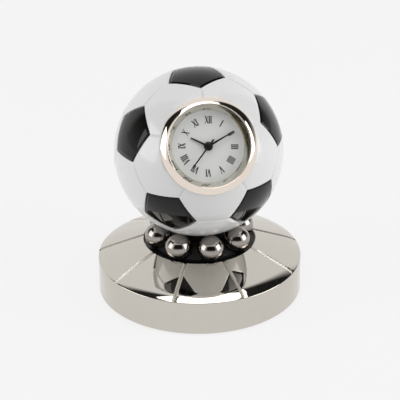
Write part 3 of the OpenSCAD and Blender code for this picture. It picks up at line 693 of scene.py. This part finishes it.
def numerals():
    """Twelve Roman numerals with their feet to the centre, printed on the dial."""
    letters = {kind: letter(kind) for kind in "IVX"}
    room = {"I": 0.5, "V": 1.02, "X": 1.04}
    words = ["XII", "I", "II", "III", "IIII", "V", "VI", "VII", "VIII", "IX", "X", "XI"]
    made = []
    for hour, word in enumerate(words):
        turn = Matrix.Rotation(math.radians(-DIAL_TURN - 30 * hour), 4, "Z")
        x = -sum(room[c] for c in word) / 2
        for c in word:
            place = Matrix.Translation(((x + room[c] / 2) * MM, NUMERAL_IN * MM, 0))
            made.append(copied(letters[c], turn @ place))
            x += room[c]
    for one in letters.values():
        bpy.data.objects.remove(one)
    piece = joined("numerals", made)
    seated(piece, TO_SEAT)
    dress(piece, numeral_ink)
    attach(piece, "insert")


numerals()


def hand(name, node, body, reading, z, thick, boss_r, bars):
    """A black hand: a round boss and one or two tapered bars.

    The reading is in degrees clockwise from XII. A bar holds how far it reaches from the axis, negative
    to the rear, its width at the axis and its width at the end."""
    let_go()
    bpy.ops.mesh.primitive_cylinder_add(vertices=64, radius=boss_r * MM, depth=thick * MM,
                                        location=(0, 0, (z + thick / 2) * MM))
    pieces = [bpy.context.object]
    bpy.ops.object.transform_apply()
    for reach, wide, tip in bars:
        let_go()
        bpy.ops.mesh.primitive_plane_add(size=1)
        bar = bpy.context.object
        bar.matrix_world = (Matrix.Translation((reach / 2 * MM, 0, z * MM))
                            @ Matrix.Diagonal((abs(reach) * MM, wide * MM, 1, 1)))
        bpy.ops.object.transform_apply()
        open_up(bar)
        pick(bar, "EDGE", lambda a, b: all(abs(p.x - reach * MM) < 0.01 * MM for p in (a, b)))
        bpy.ops.transform.resize(value=(1, tip / wide, 1), center_override=(reach * MM, 0, z * MM))
        pick_all()
        bpy.ops.mesh.extrude_region_move(TRANSFORM_OT_translate={"value": (0, 0, thick * MM)})
        faced_outwards()
        close_up()
        pieces.append(bar)
    for one in pieces:
        softened(one, 0.03, 2)
    piece = joined(name, pieces)
    seated(piece, TO_SEAT @ Matrix.Rotation(math.radians(90 - DIAL_TURN - reading), 4, "Z"))
    dress(smooth(piece, 40), hand_enamel)
    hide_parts(node)
    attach(piece, body)


hand("hour_baton", "hour_hand", "hour_train", reading=294, z=-0.75, thick=0.15, boss_r=1.3,
     bars=[(5.6, 0.62, 0.42)])
hand("minute_baton", "minute_hand", "minute_train", reading=59, z=-0.3, thick=0.15, boss_r=1.2,
     bars=[(8.55, 0.66, 0.3)])
hand("second_baton", "second_hand", "second_train", reading=216, z=0.15, thick=0.12, boss_r=0.85,
     bars=[(7.95, 0.5, 0.36), (-2.4, 0.55, 0.55)])


# CAD pieces that show as they are
dress_node(felt, "felt_pad")
dress_node(black_plastic, "ball_tray", "ball_cage")
dress_node(brass, "pivot_bush", "pivot_insert", "main_plate", "train_bridge", "centre_wheel", "third_wheel",
           "fourth_wheel", "fifth_wheel", "hour_wheel", "minute_wheel")
dress_node(steel, "pivot_screw", "bridge_screws", "case_back", "insert_case", "battery_clip", "stator", "coil_core",
           "quartz_crystal", "cannon_pinion", "button_cell")
dress_node(nylon, "pivot_washer", "lens_gasket", "movement_holder", "setting_knob")
dress_node(rubber, "grip_ring")
dress_node(board_green, "circuit_board")
dress_node(epoxy, "chip")
dress_node(copper, "coil_winding")
dress_node(magnet, "rotor")
dress_node(dial_paint, "dial")


# Floor, light and camera, in metres
def seen_straight(tree):
    """One for rays from the camera, off a mirror or through glass, and zero for the rest."""
    rays = tree.nodes.new("ShaderNodeLightPath").outputs
    either = maths(tree, "ADD", rays["Is Camera Ray"], rays["Is Glossy Ray"])
    return maths(tree, "ADD", either, rays["Is Transmission Ray"], clamp=True)


def pale_floor():
    """A floor that looks evenly pale and still takes a faint shadow."""
    evenness = 0.85
    let_go()
    bpy.ops.mesh.primitive_plane_add(size=6, location=(0, 0, 0))
    floor = bpy.context.object
    floor.name = "floor"
    m, tree, matt = blank("pale_floor")
    fixed(matt, Base_Color=(0.88, 0.88, 0.88, 1), Roughness=0.9)
    pale = tree.nodes.new("ShaderNodeEmission")
    fixed(pale, Color=(0.94, 0.94, 0.94, 1))
    share = maths(tree, "MULTIPLY", seen_straight(tree), evenness)
    blended(tree, share, matt, pale, tree.nodes["Material Output"])
    floor.data.materials.append(m)


def white_room():
    """A room that gives dim light and looks white."""
    world = bpy.data.worlds.new("studio")
    bpy.context.scene.world = world
    world.use_nodes = True
    tree = world.node_tree
    tree.nodes.clear()
    out = tree.nodes.new("ShaderNodeOutputWorld")
    dim = tree.nodes.new("ShaderNodeBackground")
    fixed(dim, Color=(0.92, 0.92, 0.92, 1), Strength=0.45)
    white = tree.nodes.new("ShaderNodeBackground")
    fixed(white, Color=(0.922, 0.922, 0.922, 1))
    blended(tree, seen_straight(tree), dim, white, out)


def direction(azimuth, elevation):
    """From the object outwards: azimuth 0 is the front and 90 the viewer's right."""
    a, e = math.radians(azimuth), math.radians(elevation)
    return Vector((math.sin(a) * math.cos(e), -math.cos(a) * math.cos(e), math.sin(e)))


LIGHT_AIM = Vector((0, 0, 0.03))


def softbox(name, azimuth, elevation, away, wide, tall, power):
    """A rectangular lamp that faces the clock."""
    light = bpy.data.lights.new(name, "AREA")
    light.shape, light.size, light.size_y, light.energy = "RECTANGLE", wide, tall, power
    lamp = bpy.data.objects.new(name, light)
    bpy.context.scene.collection.objects.link(lamp)
    way = direction(azimuth, elevation)
    lamp.location = LIGHT_AIM + way * away
    lamp.rotation_euler = way.to_track_quat("Z", "Y").to_euler()


def soft_edged_black():
    """Black cloth that fades out towards the card's edges, so that its reflection has no hard border."""
    edge, full = 0.5, 0.3  # the card is one wide in its own coordinates
    m, tree, shader = blank("card_black")
    link, new = tree.links.new, tree.nodes.new
    fixed(shader, Base_Color=(0.01, 0.01, 0.01, 1), Roughness=1.0)
    place = new("ShaderNodeTexCoord")
    from_middle = new("ShaderNodeVectorMath")
    from_middle.operation = "ABSOLUTE"
    parts = new("ShaderNodeSeparateXYZ")
    link(place.outputs["Object"], from_middle.inputs[0])
    link(from_middle.outputs[0], parts.inputs[0])
    fades = []
    for axis in "XY":
        fade = new("ShaderNodeMapRange")
        fade.interpolation_type = "SMOOTHSTEP"
        fixed(fade, From_Min=edge, From_Max=full)
        link(parts.outputs[axis], fade.inputs["Value"])
        fades.append(fade.outputs["Result"])
    clear = new("ShaderNodeBsdfTransparent")
    blended(tree, maths(tree, "MULTIPLY", *fades), clear, shader, tree.nodes["Material Output"])
    return m


card_black = soft_edged_black()


def dark_card(name, azimuth, wide, low, high):
    """A black flag on end that shows in reflections and through the glass, and nowhere else.

    It hides the given width of the room, between two elevations, all in degrees."""
    away = 1.3
    width = 2 * away * math.tan(math.radians(wide / 2))
    bottom, top = (away * math.tan(math.radians(e)) for e in (low, high))
    let_go()
    bpy.ops.mesh.primitive_plane_add(size=1)
    card = bpy.context.object
    card.name = name
    way = direction(azimuth, 0)
    card.scale = (width, top - bottom, 1)
    card.rotation_euler = way.to_track_quat("Z", "Y").to_euler()
    card.location = LIGHT_AIM + way * away + Vector((0, 0, (bottom + top) / 2))
    for ray in ("camera", "diffuse", "shadow", "volume_scatter"):
        setattr(card, "visible_" + ray, False)
    card.data.materials.append(card_black)


pale_floor()
white_room()
softbox("left_softbox", azimuth=-85, elevation=18, away=0.9, wide=0.56, tall=0.58, power=2.6)
softbox("right_softbox", azimuth=67, elevation=18, away=0.9, wide=0.56, tall=0.58, power=3.6)
softbox("top_light", azimuth=0, elevation=85, away=1.0, wide=0.84, tall=0.5, power=3.0)
dark_card("front_flag", azimuth=-8, wide=100, low=-1, high=52)
dark_card("left_flag", azimuth=-102, wide=66, low=-20, high=77)
dark_card("right_flag", azimuth=94, wide=78, low=-20, high=75)


def camera():
    """The camera that was fitted to the photo's outlines. Focal length and shifts are in the photo's pixels."""
    picture, focal, shift_x, shift_y = 400, 2524, 0.9, 0.7
    aim, away, sensor = Vector((0, 0, 0.0285)), 0.75, 36
    data = bpy.data.cameras.new("camera")
    cam = bpy.data.objects.new("camera", data)
    bpy.context.scene.collection.objects.link(cam)
    way = direction(-9.3, 27.62)
    turn = way.to_track_quat("Z", "Y").to_matrix().to_4x4()
    roll = Matrix.Rotation(math.radians(-0.5), 4, "Z")
    cam.matrix_world = Matrix.Translation(aim + way * away) @ turn @ roll
    data.sensor_width = sensor
    data.lens = sensor * focal / picture
    data.shift_x, data.shift_y = shift_x / picture, shift_y / picture
    data.clip_start, data.clip_end = 0.05, 20
    bpy.context.scene.camera = cam


camera()
bpy.context.scene.view_settings.view_transform = "Standard"
